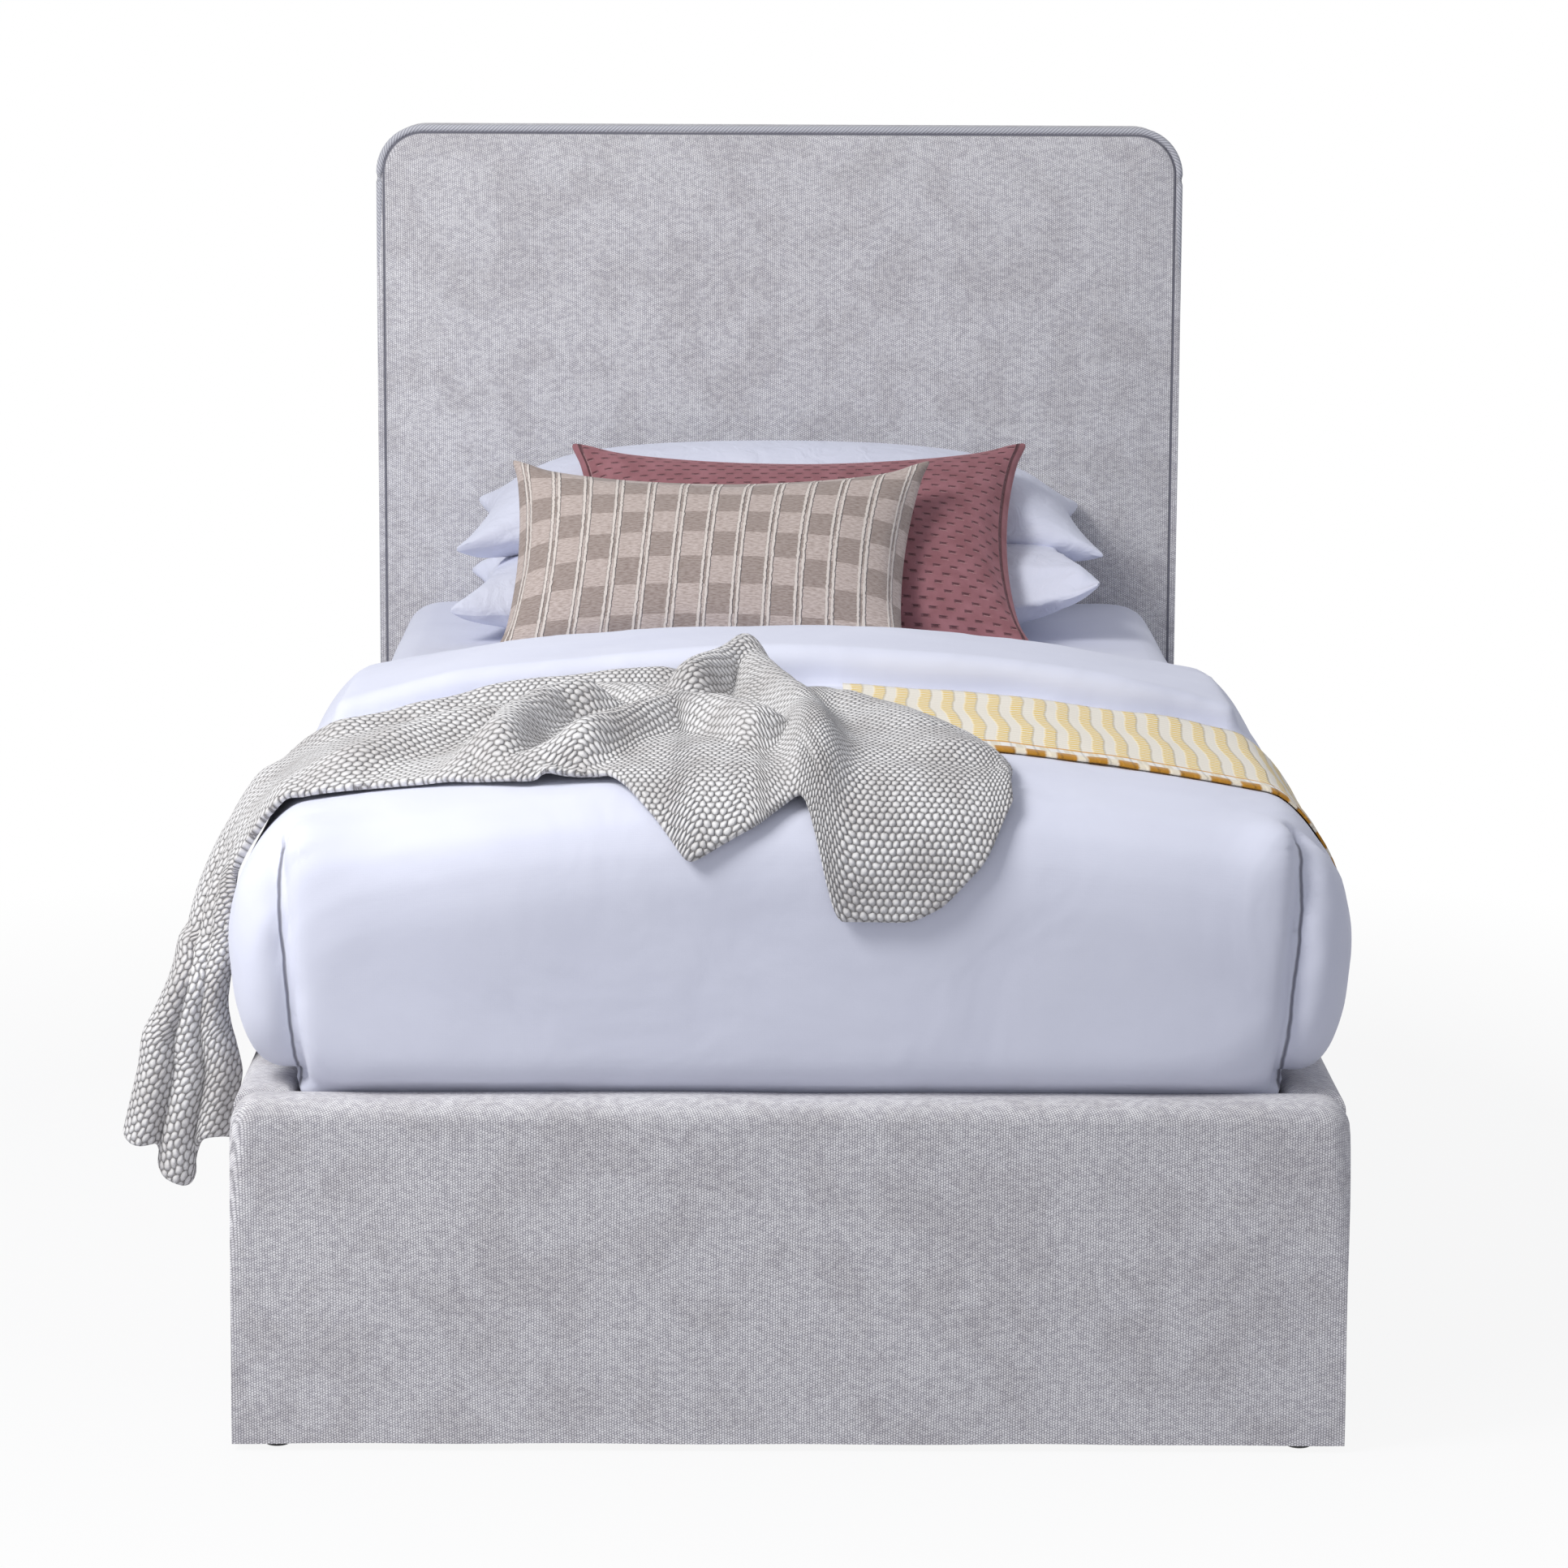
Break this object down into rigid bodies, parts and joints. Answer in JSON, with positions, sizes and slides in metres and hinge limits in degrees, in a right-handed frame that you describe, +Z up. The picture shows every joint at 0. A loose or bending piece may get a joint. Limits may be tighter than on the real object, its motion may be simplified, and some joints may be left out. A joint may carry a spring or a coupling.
{
  "type": "upholstered drawer storage bed",
  "caption": "Single bed with a padded headboard edged in piping, pull-out drawers on castors under one side, made up with duvet, pillows, cushions and throws.",
  "frame": {"origin": "on the floor under the middle of the bed frame's width and length", "axes": "+Z up, +Y from the foot towards the headboard, +X to the side with the drawers"},
  "size_m": [1.1538, 2.05, 1.15],
  "materials": {
    "chenille": "matte chenille",
    "piping_cloth": "matte woven",
    "dust_cloth": "matte nonwoven",
    "foam": "matte",
    "softwood": "planed",
    "plywood": "sanded",
    "chipboard": "raw",
    "zinc_steel": "zinc plated",
    "black_plastic": "moulded",
    "ticking": "matte",
    "white_cotton": "matte",
    "rose_cloth": "matte",
    "check_cloth": "matte",
    "knit_wool": "matte knit",
    "yellow_weave": "matte woven"
  },
  "bodies": {
    "bed": {"corner_bolts": "zinc_steel", "corner_brackets": "zinc_steel", "corner_screws": "zinc_steel", "cushion_check": "check_cloth", "cushion_rose": "rose_cloth", "duvet": "white_cotton", "fitted_sheet": "white_cotton", "footboard_core": "chipboard", "footboard_cover": "chenille", "footboard_foam": "foam", "glides": "black_plastic", "headboard_back_cloth": "dust_cloth", "headboard_cover": "chenille", "headboard_foam": "foam", "headboard_frame": "softwood", "headboard_panel": "plywood", "headboard_piping": "piping_cloth", "left_ledger": "softwood", "left_rail_core": "chipboard", "left_rail_cover": "chenille", "left_rail_foam": "foam", "mattress": "ticking", "middle_post_core": "softwood", "middle_post_cover": "chenille", "pillow_lower": "white_cotton", "pillow_upper": "white_cotton", "right_ledger": "softwood", "right_rail_core": "chipboard", "right_rail_cover": "chenille", "right_rail_foam": "foam", "slat_holders": "black_plastic", "slats": "plywood", "throw_knit": "knit_wool", "throw_yellow": "yellow_weave"},
    "drawer_1": {"drawer_1_axles": "zinc_steel", "drawer_1_back": "plywood", "drawer_1_bottom": "plywood", "drawer_1_castor_forks": "zinc_steel", "drawer_1_front_board": "chipboard", "drawer_1_front_cover": "chenille", "drawer_1_front_foam": "foam", "drawer_1_sides": "plywood"},
    "drawer_1_wheel_1": {"drawer_1_wheel_1": "black_plastic"},
    "drawer_1_wheel_2": {"drawer_1_wheel_2": "black_plastic"},
    "drawer_1_wheel_3": {"drawer_1_wheel_3": "black_plastic"},
    "drawer_1_wheel_4": {"drawer_1_wheel_4": "black_plastic"},
    "drawer_2": {"drawer_2_axles": "zinc_steel", "drawer_2_back": "plywood", "drawer_2_bottom": "plywood", "drawer_2_castor_forks": "zinc_steel", "drawer_2_front_board": "chipboard", "drawer_2_front_cover": "chenille", "drawer_2_front_foam": "foam", "drawer_2_sides": "plywood"},
    "drawer_2_wheel_1": {"drawer_2_wheel_1": "black_plastic"},
    "drawer_2_wheel_2": {"drawer_2_wheel_2": "black_plastic"},
    "drawer_2_wheel_3": {"drawer_2_wheel_3": "black_plastic"},
    "drawer_2_wheel_4": {"drawer_2_wheel_4": "black_plastic"}
  },
  "joints": [
    {"name": "drawer_1_slide", "type": "slide", "parent": "bed", "child": "drawer_1", "axis": [1, 0, 0], "range_m": [0, 0.48]},
    {"name": "drawer_1_wheel_1_roll", "type": "hinge", "parent": "drawer_1", "child": "drawer_1_wheel_1", "pos_m": [0.43, -0.911, 0.02], "axis": [0, 1, 0], "continuous": true},
    {"name": "drawer_1_wheel_2_roll", "type": "hinge", "parent": "drawer_1", "child": "drawer_1_wheel_2", "pos_m": [0.43, -0.1115, 0.02], "axis": [0, 1, 0], "continuous": true},
    {"name": "drawer_1_wheel_3_roll", "type": "hinge", "parent": "drawer_1", "child": "drawer_1_wheel_3", "pos_m": [-0.07, -0.911, 0.02], "axis": [0, 1, 0], "continuous": true},
    {"name": "drawer_1_wheel_4_roll", "type": "hinge", "parent": "drawer_1", "child": "drawer_1_wheel_4", "pos_m": [-0.07, -0.1115, 0.02], "axis": [0, 1, 0], "continuous": true},
    {"name": "drawer_2_slide", "type": "slide", "parent": "bed", "child": "drawer_2", "axis": [1, 0, 0], "range_m": [0, 0.48]},
    {"name": "drawer_2_wheel_1_roll", "type": "hinge", "parent": "drawer_2", "child": "drawer_2_wheel_1", "pos_m": [0.43, 0.0765, 0.02], "axis": [0, 1, 0], "continuous": true},
    {"name": "drawer_2_wheel_2_roll", "type": "hinge", "parent": "drawer_2", "child": "drawer_2_wheel_2", "pos_m": [0.43, 0.876, 0.02], "axis": [0, 1, 0], "continuous": true},
    {"name": "drawer_2_wheel_3_roll", "type": "hinge", "parent": "drawer_2", "child": "drawer_2_wheel_3", "pos_m": [-0.07, 0.0765, 0.02], "axis": [0, 1, 0], "continuous": true},
    {"name": "drawer_2_wheel_4_roll", "type": "hinge", "parent": "drawer_2", "child": "drawer_2_wheel_4", "pos_m": [-0.07, 0.876, 0.02], "axis": [0, 1, 0], "continuous": true}
  ],
  "couplings": [
    {"joint": "drawer_1_wheel_1_roll", "follows": "drawer_1_slide", "rad_per_m": 50},
    {"joint": "drawer_1_wheel_2_roll", "follows": "drawer_1_slide", "rad_per_m": 50},
    {"joint": "drawer_1_wheel_3_roll", "follows": "drawer_1_slide", "rad_per_m": 50},
    {"joint": "drawer_1_wheel_4_roll", "follows": "drawer_1_slide", "rad_per_m": 50},
    {"joint": "drawer_2_wheel_1_roll", "follows": "drawer_2_slide", "rad_per_m": 50},
    {"joint": "drawer_2_wheel_2_roll", "follows": "drawer_2_slide", "rad_per_m": 50},
    {"joint": "drawer_2_wheel_3_roll", "follows": "drawer_2_slide", "rad_per_m": 50},
    {"joint": "drawer_2_wheel_4_roll", "follows": "drawer_2_slide", "rad_per_m": 50}
  ]
}
